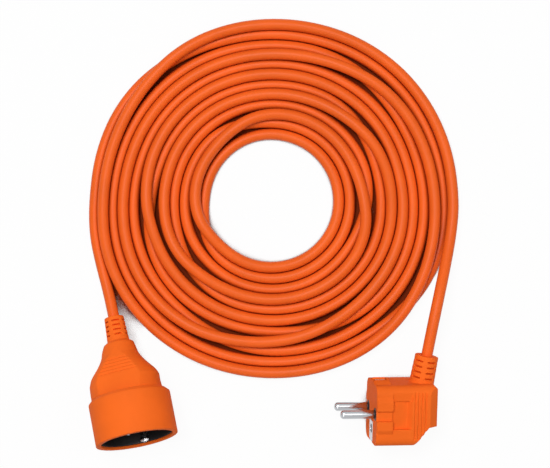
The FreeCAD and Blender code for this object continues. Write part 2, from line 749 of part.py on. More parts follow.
def makeInsert():
    """The dark cup that lines the recess, with its pin holes and guide ribs."""
    body = newBody("socket_insert_cup")
    profile = newSketch(body, "insert_profile", "XZ_Plane")
    drawOutline(profile, [
        ("0", FLOOR_BACK),
        ("recess_radius + insert_wall", FLOOR_BACK),
        ("recess_radius + insert_wall", "socket_length - lip_depth"),
        ("recess_radius", "socket_length - lip_depth"),
        ("recess_radius", FLOOR),
        ("0", FLOOR),
    ])
    revolve(body, profile)
    guides = newSketch(body, "insert_guides", "XY_Plane", FLOOR)
    for sign in ("", "-"):
        inner = signed(sign, "recess_radius - guide_height")
        outer = signed(sign, "recess_radius + insert_wall / 2")
        drawOutline(guides, [
            (inner, "-guide_width / 2"),
            (outer, "-guide_width / 2"),
            (outer, "guide_width / 2"),
            (inner, "guide_width / 2"),
        ])
    extrude(body, "Pad", guides, "recess_depth - guide_front")
    holes = newSketch(body, "insert_pin_holes", "XY_Plane", FLOOR)
    for sign in ("", "-"):
        middle = signed(sign, "pin_spacing / 2")
        drawCircle(holes, middle, "0", "(pin_diameter + pin_clearance) / 2")
    extrude(body, "Pocket", holes, "insert_bottom")
    windows = newSketch(body, "insert_clip_windows", "XY_Plane", FLOOR)
    for sign in ("", "-"):
        middle = signed(sign, "clip_outer - strip_thickness / 2")
        drawOutline(windows, slab("0", middle, "clip_width / 2", "strip_thickness / 2"))
    extrude(body, "Pocket", windows, "insert_bottom")
    return body


def makeContactBase():
    """The block behind the insert that carries the contact sleeves and the earth strap."""
    body = newBody("socket_contact_base")
    block = newSketch(body, "base_outline", "XY_Plane", FLOOR_BACK)
    drawOutline(block, slab("0", "0", "pin_spacing / 2 + carrier_half", "carrier_half"))
    extrude(body, "Pad", block, "carrier_depth", reverse=True)
    holes = newSketch(body, "base_holes", "XY_Plane", FLOOR_BACK)
    for sign in ("", "-"):
        middle = signed(sign, "pin_spacing / 2")
        drawCircle(holes, middle, "0", "(pin_diameter + pin_clearance) / 2 + contact_wall")
    extrude(body, "Pocket", holes, "carrier_depth")
    return body


def makeContact(label, sign):
    """A slit sleeve, closed at the back, where its core is joined."""
    bore = "(pin_diameter + pin_clearance) / 2"
    bottom = "(%s - contact_length)" % FLOOR_BACK
    body = newBody(label)
    profile = newSketch(body, label + "_profile", "XZ_Plane")
    drawOutline(profile, [
        ("0", bottom),
        (bore + " + contact_wall", bottom),
        (bore + " + contact_wall", FLOOR_BACK),
        (bore, FLOOR_BACK),
        (bore, bottom + " + contact_wall"),
        ("0", bottom + " + contact_wall"),
    ])
    revolve(body, profile)
    slit = newSketch(body, label + "_slit", "XZ_Plane")
    drawOutline(slit, [
        ("-slit_width / 2", FLOOR_BACK + " - slit_length"),
        ("slit_width / 2", FLOOR_BACK + " - slit_length"),
        ("slit_width / 2", FLOOR_BACK + " + 1"),
        ("-slit_width / 2", FLOOR_BACK + " + 1"),
    ])
    extrude(body, "Pocket", slit, "4 * pin_diameter", side="Symmetric")
    body.Placement = Placement(Vector(value(signed(sign, "pin_spacing / 2")), 0, 0), Rotation())
    return body


def makeSocketStrap():
    """The earth strap: a bridge behind the base and a sprung clip on each side of the recess."""
    body = newBody("socket_earth_strap")
    path = newSketch(body, "clip_path", "YZ_Plane")
    bend = FLOOR + " + clip_bend"
    tip = "socket_length - clip_front"
    bulge = "socket_length - clip_bulge_at"
    upper = [
        ("clip_outer - strip_thickness", BASE_BACK),
        ("clip_outer - strip_thickness", bend),
        ("clip_outer - strip_thickness - clip_bulge", bulge),
        ("clip_outer - strip_thickness", tip),
        ("clip_outer", tip),
        ("clip_outer - clip_bulge", bulge),
        ("clip_outer", bend),
        ("clip_outer", BASE_BACK + " - strip_thickness"),
    ]
    lower = [(signed("-", across), along) for across, along in reversed(upper)]
    drawOutline(path, upper + lower)
    extrude(body, "Pad", path, "clip_width", side="Symmetric")
    return body


# Where the two connectors lie

def along(angle, axis):
    return Rotation(axis, angle)


ACROSS = Vector(1, 0, 0)
BEYOND = Vector(0, 1, 0)
UPWARD = Vector(0, 0, 1)


def stand(rotation, tip, across, beyond, shapes):
    """A place with a tip over its point on the ground and the lowest point on the ground."""
    turned = Placement(Vector(0, 0, 0), rotation)
    lowest = min(shape.transformed(turned.toMatrix()).optimalBoundingBox(False).ZMin
                 for shape in shapes)
    at = rotation.multVec(tip)
    return Placement(Vector(across - at.x, beyond - at.y, -lowest), rotation)


# Plug, in its place

relief_angle = math.radians(value("relief_lean"))
relief_along = Vector(0, math.cos(relief_angle), -math.sin(relief_angle))
relief_foot = Vector(0, value("plug_top"), -value("relief_depth"))
plug_tip = relief_foot + relief_along * value("relief_length")
relief_turn = along(-90 - value("relief_lean"), ACROSS)
plug_hold = plug_tip - relief_along * value("plug_cord_hold")

plug_shell = makePlugShell()
plug_relief = makePlugRelief()
plug_relief.Placement = Placement(relief_foot, relief_turn * along(value("relief_twist"), UPWARD))
plug_turn = along(value("plug_tilt"), BEYOND) * along(value("plug_roll"), ACROSS) \
    * along(-90, BEYOND)
plug_frame = stand(plug_turn, plug_tip, value("plug_tip_across"), value("plug_tip_along"),
                   [plug_shell.Shape, plug_relief.Shape])

plug_sheath = core("plug_cord_end", [plug_tip, plug_hold], "cord_diameter", "cord_sides")
plug_bore = roundTool("plug_earth_room", "(pin_diameter + pin_clearance) / 2",
                      "strap_back - strip_thickness",
                      Placement(Vector(0, -value("earth_offset"),
                                       value("strip_thickness") - value("strap_back")),
                                Rotation()))

core_circle = value("core_circle")
core_leaving = value("core_leaving")
facing = relief_turn.multVec(Vector(0, -1, 0))


def plugCore(label, aside, forward, bends):
    start = plug_hold + ACROSS * aside + facing * forward
    return core(label, [start, start - relief_along * core_leaving] + bends)


pin_at = value("pin_spacing / 2")
pin_back = -value("pin_end")
pin_bend = -value("pin_end + pin_core_run")
strap_end = -value("strap_back")
strap_bend = -value("strap_back + strap_core_run")
strap_side = value("strap_core_side")
third = core_circle * math.sin(math.radians(60))
plug_inside = [
    makePinBridge(),
    makePin("plug_line_pin", ""),
    makePin("plug_neutral_pin", "-"),
    makePlugStrap(),
    makeEarthSleeve(),
    plug_sheath,
    plugCore("plug_line_core", third, -core_circle / 2,
             [Vector(pin_at, 0, pin_bend), Vector(pin_at, 0, pin_back)]),
    plugCore("plug_neutral_core", -third, -core_circle / 2,
             [Vector(-pin_at, 0, pin_bend), Vector(-pin_at, 0, pin_back)]),
    plugCore("plug_earth_core", 0, core_circle,
             [Vector(0, strap_side, strap_bend), Vector(0, strap_side, strap_end)]),
]
for item in [plug_shell, plug_relief, plug_bore] + plug_inside:
    placed(item, plug_frame)
plug_whole = doc.addObject("Part::MultiFuse", "plug_whole")
plug_whole.Shapes = [plug_shell, plug_relief]
plug_body = carve("plug_body", plug_whole, plug_inside + [plug_bore])


# Socket, in its place

socket_shell = makeSocketShell()
socket_turn = along(value("socket_turn"), UPWARD) * along(90 - value("socket_tilt"), ACROSS) \
    * along(value("socket_roll"), UPWARD)
socket_frame = stand(socket_turn, Vector(0, 0, 0), value("socket_tip_across"),
                     value("socket_tip_along"), [socket_shell.Shape])
hold = value("socket_cord_hold")
socket_sheath = core("socket_cord_end", [Vector(0, 0, 0), UPWARD * hold],
                     "cord_diameter", "cord_sides")
floor_back = value(FLOOR_BACK)
contact_end = floor_back - value("contact_length")
contact_bend = contact_end - value("sleeve_core_run")
clip_back = value(BASE_BACK) - value("strip_thickness")
clip_bend = clip_back - value("clip_core_run")


def socketCore(label, aside, sideways, bends):
    start = Vector(aside, sideways, hold)
    return core(label, [start, start + UPWARD * core_leaving] + bends)


def contactRoom(label, sign):
    """The room for a contact sleeve and the hole in front of it."""
    return roundTool(label, "(pin_diameter + pin_clearance) / 2 + contact_wall",
                     "contact_length + insert_bottom",
                     Placement(Vector(sign * pin_at, 0, contact_end), Rotation()))


socket_inside = [
    makeInsert(),
    makeContactBase(),
    makeContact("socket_line_contact", ""),
    makeContact("socket_neutral_contact", "-"),
    makeSocketStrap(),
    socket_sheath,
    socketCore("socket_line_core", third, core_circle / 2,
               [Vector(pin_at, 0, contact_bend), Vector(pin_at, 0, contact_end)]),
    socketCore("socket_neutral_core", -third, core_circle / 2,
               [Vector(-pin_at, 0, contact_bend), Vector(-pin_at, 0, contact_end)]),
    socketCore("socket_earth_core", 0, -core_circle,
               [Vector(0, 0, clip_bend), Vector(0, 0, clip_back)]),
]
socket_rooms = [
    contactRoom("socket_line_room", 1),
    contactRoom("socket_neutral_room", -1),
]
for item in [socket_shell] + socket_rooms + socket_inside:
    placed(item, socket_frame)
socket_body = carve("socket_body", socket_shell, socket_inside + socket_rooms)
socket_insert = socket_inside[0]
socket_insert.Label = "socket_insert"


# Cord between the two strain reliefs

diameter = value("cord_diameter")
sides = int(value("cord_sides"))
section_low = diameter / 2 * math.cos(math.pi / sides)
section_height = section_low + diameter / 2
climb = section_height + value("coil_clearance")
coil_middle = Vector(value("coil_across"), value("coil_along"), section_low)
outside = value("coil_outside")
inside = value("coil_inside")
half_turns = int(value("2 * coil_turns"))


def quarterClimb(start, start_along, finish, finish_along):
    """Two tangent arcs between two places with given directions."""
    chord = finish - start
    both = start_along + finish_along
    spread = 2 * (1 - start_along.dot(finish_along))
    reach = chord.dot(both)
    leg = (math.sqrt(reach ** 2 + spread * chord.dot(chord)) - reach) / spread
    first_corner = start + start_along * leg
    last_corner = finish - finish_along * leg
    middle = (first_corner + last_corner) / 2
    turned = (last_corner - first_corner).normalize()
    return [
        tangentArc(start, start_along, middle),
        tangentArc(middle, turned, finish),
    ]


def tangentArc(start, leaving, finish):
    """The arc from one place to another that leaves in a given direction."""
    chord = finish - start
    inward = (chord - leaving * chord.dot(leaving)).normalize()
    half = math.atan2(chord.dot(inward), chord.dot(leaving))
    radius = chord.Length / (2 * math.sin(half))
    top = start + inward * radius + leaving * (radius * math.sin(half)) \
        - inward * (radius * math.cos(half))
    return Part.Arc(start, top, finish).toShape()


def coilWire():
    """Half turns that shrink to the inside, one that climbs a layer, and half turns out again."""
    step = (outside - inside) / half_turns
    radii = [outside - step * count for count in range(half_turns + 1)]
    radii += radii[::-1]
    side = -1
    height = 0
    begin = Vector(-outside, 0, 0)
    edges = [Part.LineSegment(begin - BEYOND * diameter, begin).toShape()]
    for count, (near, far) in enumerate(zip(radii, radii[1:])):
        up = BEYOND * -side
        if count == half_turns:
            top = Vector(0, near, 0) * -side + UPWARD * (climb / 2)
            finish = Vector(-side * far, 0, climb)
            level = Vector(-side * math.pi * near / 2, 0, climb / 2).normalize()
            edges += quarterClimb(begin, up, top, level)
            edges += quarterClimb(top, level, finish, up * -1)
            height = climb
        else:
            finish = Vector(-side * far, 0, height)
            top = Vector(side * (near - far) / 2, -side * (near + far) / 2, height)
            edges.append(Part.Arc(begin, top, finish).toShape())
        begin = finish
        side = -side
    edges.append(Part.LineSegment(begin, begin - BEYOND * diameter).toShape())
    wire = Part.Wire(edges)
    wire.translate(coil_middle)
    return wire


coil_wire = coilWire()
coil_start = coil_middle + Vector(-outside, -diameter, 0)
coil_end = coil_middle + Vector(outside, -diameter, climb)
coil = sweep("cord_coil", coil_wire, flatSided(coil_start, BEYOND, diameter, sides))


def leadBend(name, side):
    """A bend of a free stretch, beside the coil."""
    across = side * (outside - value(name + "_bend_inset"))
    return coil_middle + Vector(across, -value(name + "_bend_along"), value(name + "_bend_rise"))


def lead(label, tip, leaving, bends, end):
    """A free stretch, from a strain relief to the coil."""
    begin = tip + leaving * value("lead_start")
    points = [tip, begin] + bends + [end - BEYOND * value("lead_finish"), end]
    wire, radii = bentRoute(points)
    print("%s: %.1f mm long, bends of %s mm" % (
        label, wire.Length, ", ".join("%.0f" % radius for radius in radii)))
    return sweep(label, wire, flatSided(tip, leaving, diameter, sides)), wire


socket_tip = socket_frame.multVec(Vector(0, 0, 0))
socket_leaving = socket_turn.multVec(UPWARD * -1)
plug_tip_at = plug_frame.multVec(plug_tip)
plug_leaving = plug_turn.multVec(relief_along)
socket_lead, socket_wire = lead("cord_socket_lead", socket_tip, socket_leaving,
                                [leadBend("socket", -1)], coil_start)
plug_lead, plug_wire = lead("cord_plug_lead", plug_tip_at, plug_leaving,
                            [leadBend("plug", 1), leadBend("coil", 1)], coil_end)


def leastGap():
    """The least gap of the coil to itself, between its sections in planes through its middle."""
    least = 1000
    for count in range(24):
        angle = math.pi * (count + 0.5) / 24
        normal = Vector(math.cos(angle), math.sin(angle), 0)
        cuts = coil.Shape.slice(normal, normal.dot(coil_middle))
        middles = [cut.BoundBox.Center for cut in cuts]
        for first in range(len(cuts)):
            for second in range(first):
                if middles[first].distanceToPoint(middles[second]) < 2 * diameter:
                    least = min(least, cuts[first].distToShape(cuts[second])[0])
    return least


# Checks and export

nodes = [plug_body] + plug_inside + [socket_body] + socket_inside
nodes += [socket_lead, coil, plug_lead]
doc.recompute()
for item in doc.Objects:
    if "Invalid" in item.State or "Error" in item.State:
        raise RuntimeError("%s did not build" % item.Name)
os.makedirs("parts", exist_ok=True)
for item in nodes:
    if item.Shape.isNull() or not item.Shape.isValid():
        raise RuntimeError("%s is not valid" % item.Label)
    if len(item.Shape.Solids) != 1:
        raise RuntimeError("%s has %d solids" % (item.Label, len(item.Shape.Solids)))
    item.Shape.exportStep("parts/%s.step" % item.Label)
total = coil_wire.Length + socket_wire.Length + plug_wire.Length
print("cord_coil: %.1f mm long, least gap to itself %.2f mm" % (coil_wire.Length, leastGap()))
print("cord between the strain reliefs: %.0f mm" % total)
boxes = [item.Shape.optimalBoundingBox(False) for item in nodes[:-3]]
print("connectors from (%.2f, %.2f, %.2f) to (%.2f, %.2f, %.2f)" % (
    min(box.XMin for box in boxes), min(box.YMin for box in boxes), min(box.ZMin for box in boxes),
    max(box.XMax for box in boxes), max(box.YMax for box in boxes), max(box.ZMax for box in boxes)))
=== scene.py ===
import math

import bmesh
import bpy
import numpy as np
from mathutils import Matrix, Vector


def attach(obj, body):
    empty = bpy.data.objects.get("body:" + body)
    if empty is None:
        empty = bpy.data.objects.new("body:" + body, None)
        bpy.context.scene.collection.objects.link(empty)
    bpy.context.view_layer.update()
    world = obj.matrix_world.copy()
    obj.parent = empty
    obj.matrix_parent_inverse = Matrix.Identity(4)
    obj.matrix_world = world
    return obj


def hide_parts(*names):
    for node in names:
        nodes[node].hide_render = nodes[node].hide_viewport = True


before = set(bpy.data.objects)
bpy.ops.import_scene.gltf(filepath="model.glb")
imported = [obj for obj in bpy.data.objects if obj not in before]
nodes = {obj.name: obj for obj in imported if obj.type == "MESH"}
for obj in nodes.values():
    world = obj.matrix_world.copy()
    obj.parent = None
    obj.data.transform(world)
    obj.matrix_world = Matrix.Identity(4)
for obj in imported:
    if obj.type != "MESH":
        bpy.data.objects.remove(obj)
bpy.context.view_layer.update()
mm = 0.001
touching = 1e-6  # metres; corners of a mesh that are nearer to each other than this become one


def newObject(name, data):
    thing = bpy.data.objects.new(name, data)
    bpy.context.scene.collection.objects.link(thing)
    return thing


# The photograph was taken from straight above. The view's middle is a place on the ground.
view = {
    "middle": (6.24, 81.95),  # mm
    "height": 1065.0,  # mm above the ground
    "focalPixels": 1911.0,
    "widthPixels": 550,
    "sensor": 36.0,  # mm
    "farthest": 20.0,  # metres
}


def makeCamera():
    data = bpy.data.cameras.new("camera")
    data.sensor_width = view["sensor"]
    data.lens = view["sensor"] * view["focalPixels"] / view["widthPixels"]
    data.clip_end = view["farthest"]
    camera = newObject("camera", data)
    camera.location = Vector((*view["middle"], view["height"])) * mm
    bpy.context.scene.camera = camera
    print("camera in place")


makeCamera()


# Where the two connectors lie. Each has the frame of its own that its solids have: Z comes out
# of the face or the mouth, and the contacts are on the X axis.

def turned(axis, degrees):
    return Matrix.Rotation(math.radians(degrees), 4, axis)


def along(distance):
    return Matrix.Translation((0, 0, distance * mm))


socketPlace = {
    "tip": (-82.76, 35.65, 8.86),  # mm, where the cord enters
    "turn": 12.2,  # degrees
    "tilt": 16.0,
    "roll": 10.0,
}
plugPlace = {
    "tip": (89.25, 15.5, 20.01),  # mm, where the cord enters
    "tilt": 8.2,  # degrees
    "roll": 8.2,
    "reliefLean": 9.5,
    "reliefTwist": 29.0,
    "reliefLength": 14.4,  # mm
    "reliefFoot": (0.0, 16.0, -27.6),
}
socketFrame = (
    Matrix.Translation(Vector(socketPlace["tip"]) * mm)
    @ turned("Z", socketPlace["turn"])
    @ turned("X", 90 - socketPlace["tilt"])
    @ turned("Z", socketPlace["roll"])
)
reliefLean = math.radians(plugPlace["reliefLean"])
reliefAlong = Vector((0, math.cos(reliefLean), -math.sin(reliefLean)))
reliefTip = Vector(plugPlace["reliefFoot"]) + reliefAlong * plugPlace["reliefLength"]
plugTurn = turned("Y", plugPlace["tilt"]) @ turned("X", plugPlace["roll"]) @ turned("Y", -90)
plugFrame = Matrix.Translation((Vector(plugPlace["tip"]) - plugTurn @ reliefTip) * mm) @ plugTurn
reliefFrame = (
    plugFrame
    @ Matrix.Translation(Vector(plugPlace["reliefFoot"]) * mm)
    @ turned("X", -90 - plugPlace["reliefLean"])
    @ turned("Z", plugPlace["reliefTwist"])
)

# Cord. It is laid turn by turn, clockwise from the nine o'clock side, in towards the hole and
# out again, and then settles under its weight.
cord = {
    "diameter": 6.2,  # mm
    "length": 5.0,  # metres
    "middle": (4.59, 100.36),  # mm
    # middle of the strand at nine, twelve, three and six o'clock in each turn
    "turns": [
        (97.8, 91.2, 94.0, 89.0), (86.8, 86.5, 81.9, 82.2), (75.7, 75.6, 75.8, 71.2),
        (69.3, 64.7, 58.5, 59.6), (52.2, 53.4, 52.2, 46.3), (46.5, 43.5, 40.8, 41.1),
        (36.0, 38.2, 35.4, 36.0), (41.4, 48.3, 46.4, 52.7), (58.6, 59.1, 64.6, 65.4),
        (63.9, 70.3, 70.0, 76.7), (81.5, 81.1, 88.0, 95.1), (92.3, 96.4, 99.8),
    ],
    "fit": 1.0177,  # the radii above were taken a little small
    # the outermost strand at eight bearings, from nine o'clock on, and the innermost
    "outside": (98.2, 100.2, 97.6, 101.6, 100.6, 98.6, 95.4, 97.4),
    "inside": 37.6,
    "wander": (3.0, 1.3, 2.5),  # how far and over how many turns strands change places, and a start
    "sweeps": 2,  # of smoothing, after the strands are spread over the ring
    "steps": 24,  # points in each turn
    "apart": 6.3,  # between the middles of two strands
    "laid": 2.0,  # each turn is first held so much higher than the one before
    "settling": 700,  # rounds
    "resting": 60,  # of them at the end, in which strands are only kept apart
    "pull": 0.6,  # towards the strand's own radius, in each round
    "drop": 0.06,
    "stiffness": 0.4,
    "roundness": 6,  # of the section
    "fineness": 6,  # of the line between two points
}
socketLead = [(-85.8, 48.8, 4.8), (-90.2, 64.65, 3.1), (-93.9, 81.55, 3.1)]
plugLead = [(91.82, 29.17, 21.62), (95.84, 47.65, 20.51), (99.74, 63.65, 14.01), (103.54, 81.55, 8.82)]


def wantedRadii():
    # a smooth line through the marks, one every quarter turn
    marks = [radius * cord["fit"] for turn in cord["turns"] for radius in turn]
    marks = [marks[0]] + marks + [marks[-1]]
    quarter = cord["steps"] // 4
    radii = []
    for a, b, c, d in zip(marks, marks[1:], marks[2:], marks[3:]):
        for step in range(quarter):
            t = step / quarter
            bend = 2 * a - 5 * b + 4 * c - d + t * (3 * (b - c) + d - a)
            radii.append(b + 0.5 * t * (c - a + t * bend))
    radii.append(marks[-2])
    return np.array(radii)


def evened(wanted):
    # spreads the strands over the ring in the order above, so that few gaps stay open
    steps = cord["steps"]
    bearings = len(cord["outside"])
    outside = cord["outside"] + cord["outside"][:1]
    size, turns, start = cord["wander"]
    order = wanted + size * np.sin(2 * math.pi * np.arange(len(wanted)) / steps / turns + start)
    even = wanted.copy()
    for step in range(steps):
        edge = np.interp(step * bearings / steps, range(bearings + 1), outside)
        rank = order[step::steps].argsort().argsort()
        even[step::steps] = cord["inside"] + (edge - cord["inside"]) * rank / (len(rank) - 1)
    for sweep in range(cord["sweeps"]):
        even[1:-1] = (even[:-2] + 2 * even[1:-1] + even[2:]) / 4
    return even


def pushApart(first, second):
    # each row is a radius and a height; half of the push is for each strand
    way = second - first
    gap = np.maximum(np.hypot(way[:, 0], way[:, 1]), touching)  # never 0, as it divides
    return way * (np.maximum(cord["apart"] - gap, 0) / 2 / gap)[:, None]


def settledStrands():
    wanted = evened(wantedRadii())
    steps = cord["steps"]
    ground = cord["diameter"] / 2
    held = ground + cord["laid"] * np.arange(len(wanted)) / steps
    line = np.stack([wanted, held], 1)
    for count in range(cord["settling"]):
        if count < cord["settling"] - cord["resting"]:
            line[:, 1] -= cord["drop"]
            line[:, 0] += cord["pull"] * (wanted - line[:, 0])
            off = line.copy()
            off[:, 0] -= wanted
            line[1:-1] += cord["stiffness"] * (off[:-2] + off[2:] - 2 * off[1:-1]) / 2
        for shift in range(steps, len(line), steps):
            # the finished curve passes a little inside its points
            drawn = line.copy()
            drawn[1:-1] = (line[:-2] + 6 * line[1:-1] + line[2:]) / 8
            push = pushApart(drawn[:-shift], drawn[shift:])
            line[shift:] += push
            line[:-shift] -= push
            # and halfway between two points
            half = (line[1:] + line[:-1]) / 2
            push = pushApart(half[:-shift], half[shift:]) / 2
            line[shift:-1] += push
            line[shift + 1:] += push
            line[:-shift - 1] -= push
            line[1:-shift] -= push
        line[:, 1] = np.maximum(line[:, 1], ground)
    return line


def coilPoints():
    points = []
    for index, (radius, height) in enumerate(settledStrands()):
        angle = math.pi - 2 * math.pi * index / cord["steps"]
        points.append((
            cord["middle"][0] + radius * math.cos(angle),
            cord["middle"][1] + radius * math.sin(angle),
            height,
        ))
    return points


def makeCord():
    points = [socketPlace["tip"]] + socketLead + coilPoints() + plugLead[::-1] + [plugPlace["tip"]]
    data = bpy.data.curves.new("cord", "CURVE")
    data.dimensions = "3D"
    data.bevel_depth = cord["diameter"] / 2 * mm
    data.bevel_resolution = cord["roundness"]
    data.resolution_u = cord["fineness"]
    data.use_fill_caps = True
    spline = data.splines.new("NURBS")
    spline.points.add(len(points) - 1)
    for place, point in zip(spline.points, points):
        place.co = (point[0] * mm, point[1] * mm, point[2] * mm, 1)
    spline.order_u = 3
    spline.use_endpoint_u = True
    print("cord laid with", len(points), "points")
    return newObject("cord", data)


cordPiece = makeCord()

# Materials. The values here hold for all plastics and for all metals.
plastic = {
    "patchScale": 40.0,  # of slow changes of colour and gloss
    "patchRange": (0.3, 0.7),
    "darkest": 0.93,  # times the colour
    "lightest": 1.05,
    "glossRange": (-0.05, 0.07),  # added to the roughness
    "grainHeight": 0.4,  # mm
    "paintedShadeReach": 7.0,  # mm, how far round a point other strands are looked for by the painted shade
    "paintedShadeRange": (0.12, 0.62),  # how open a place with the painted shade and with the plain colour is
}
metal = {
    "grainScale": 900.0,
    "grainDepth": 0.05,
    "grainHeight": 0.2,  # mm
}
noiseDetail = 3.0


def newMaterial(name, colour, roughness):
    material = bpy.data.materials.new(name)
    material.use_nodes = True
    shader = material.node_tree.nodes["Principled BSDF"]
    shader.inputs["Base Color"].default_value = (*colour, 1)
    shader.inputs["Roughness"].default_value = roughness
    return material, shader


def addNode(material, kind, **values):
    node = material.node_tree.nodes.new(kind)
    for name, number in values.items():
        node.inputs[name].default_value = number
    return node


def giveTerms(tree, node, terms):
    # each term is a number or another node's output
    for socket, term in zip(node.inputs, terms):
        if isinstance(term, (int, float)):
            socket.default_value = term
        else:
            tree.links.new(term, socket)
    return node.outputs[0]


def reckoned(tree, operation, *terms):
    node = tree.nodes.new("ShaderNodeMath")
    node.operation = operation
    return giveTerms(tree, node, terms)


def ranged(material, value, lowIn, highIn, lowOut=0.0, highOut=1.0):
    node = addNode(material, "ShaderNodeMapRange")
    node.inputs["From Min"].default_value = lowIn
    node.inputs["From Max"].default_value = highIn
    node.inputs["To Min"].default_value = lowOut
    node.inputs["To Max"].default_value = highOut
    material.node_tree.links.new(value, node.inputs["Value"])
    return node.outputs["Result"]


def opened(material, reach, openRange):
    # 0 where a place is closed in by what is within reach, 1 where it is open
    nearness = addNode(material, "ShaderNodeAmbientOcclusion", Distance=reach)
    return ranged(material, nearness.outputs["AO"], *openRange)


def colourMix(material, share, colour):
    # a Mix node that has this colour where the share is 0; the other one is given later
    mix = addNode(material, "ShaderNodeMix")
    mix.data_type = "RGBA"
    mix.inputs["A"].default_value = (*colour, 1)
    material.node_tree.links.new(share, mix.inputs["Factor"])
    return mix


def patchNoise(material, scale):
    place = addNode(material, "ShaderNodeTexCoord")
    noise = addNode(material, "ShaderNodeTexNoise", Scale=scale, Detail=noiseDetail)
    material.node_tree.links.new(place.outputs["Object"], noise.inputs["Vector"])
    return noise.outputs["Fac"]


def addGrain(material, shader, scale, depth, height):
    # fine bumps
    links = material.node_tree.links
    bump = addNode(material, "ShaderNodeBump", Strength=depth, Distance=height * mm)
    links.new(patchNoise(material, scale), bump.inputs["Height"])
    links.new(bump.outputs["Normal"], shader.inputs["Normal"])


def plasticMaterial(name, colour, roughness, grainScale, grainDepth, shine=0.3, deep=None):
    material, shader = newMaterial(name, colour, roughness)
    shader.inputs["Specular IOR Level"].default_value = shine
    links = material.node_tree.links
    patches = patchNoise(material, plastic["patchScale"])
    ramp = addNode(material, "ShaderNodeValToRGB")
    for element, at, change in zip(ramp.color_ramp.elements, plastic["patchRange"],
                                   (plastic["darkest"], plastic["lightest"])):
        element.position = at
        element.color = (*[min(part * change, 1) for part in colour], 1)
    links.new(patches, ramp.inputs["Fac"])
    surface = ramp.outputs["Color"]
    if deep:
        # painted shade: a deeper colour where strands touch and the place is closed in
        mix = colourMix(material, opened(material, plastic["paintedShadeReach"] * mm, plastic["paintedShadeRange"]), deep)
        links.new(surface, mix.inputs["B"])
        surface = mix.outputs["Result"]
    links.new(surface, shader.inputs["Base Color"])
    smoother, rougher = plastic["glossRange"]
    gloss = ranged(material, patches, 0, 1, roughness + smoother, roughness + rougher)
    links.new(gloss, shader.inputs["Roughness"])
    addGrain(material, shader, grainScale, grainDepth, plastic["grainHeight"])
    return material


def metalMaterial(name, colour, roughness):
    material, shader = newMaterial(name, colour, roughness)
    shader.inputs["Metallic"].default_value = 1.0
    addGrain(material, shader, metal["grainScale"], metal["grainDepth"], metal["grainHeight"])
    return material


orangeMoulding = plasticMaterial(
    "orangeMoulding", (0.87, 0.14, 0.014), roughness=0.68, grainScale=1400.0, grainDepth=0.12, shine=0.08)
# the sheath's deep colour is painted shade between strands
orangeSheath = plasticMaterial(
    "orangeSheath", (0.81, 0.118, 0.012), roughness=0.42, grainScale=500.0, grainDepth=0.05, shine=0.16,
    deep=(0.3, 0.012, 0.002))
blackInsert = plasticMaterial(
    "blackInsert", (0.012, 0.01, 0.01), roughness=0.45, grainScale=1200.0, grainDepth=0.1)
coreFinish = {"roughness": 0.4, "grainScale": 800.0, "grainDepth": 0.05}
brownCore = plasticMaterial("brownCore", (0.12, 0.045, 0.015), **coreFinish)
blueCore = plasticMaterial("blueCore", (0.02, 0.1, 0.4), **coreFinish)
earthCore = plasticMaterial("earthCore", (0.25, 0.42, 0.03), **coreFinish)
nickel = metalMaterial("nickel", (0.55, 0.56, 0.58), roughness=0.24)
brass = metalMaterial("brass", (0.8, 0.6, 0.28), roughness=0.25)
print("materials mixed")


def coat(piece, material):
    piece.data.materials.clear()
    piece.data.materials.append(material)


# Strain reliefs. Both are slotted boots, made by one tree.
socketBoot = {
    "length": 15.0,  # mm
    "footRadius": 6.2,
    "tipRadius": 5.4,
    "sides": 96,
    "rows": 4,
    "columns": 5,
    "firstRow": 2.6,  # from the thin end to the slot's middle
    "pitch": 2.65,
    "slotWidth": 0.75,
    "slotLength": 4.6,
    "slotDepth": 2.3,
    "twist": 3.0,  # degrees from the contacts' side
    "bodyTo": 1.5,  # from the foot; the solid's own strain relief is cut off there
}
plugBoot = {
    "length": 18.4,
    "footRadius": 6.9,
    "tipRadius": 6.4,
    "sides": 96,
    "rows": 4,
    "columns": 5,
    "firstRow": 2.8,
    "pitch": 3.04,
    "slotWidth": 0.75,
    "slotLength": 5.3,
    "slotDepth": 2.3,
    "twist": -7.0,
    "bodyTo": 6.2,
}


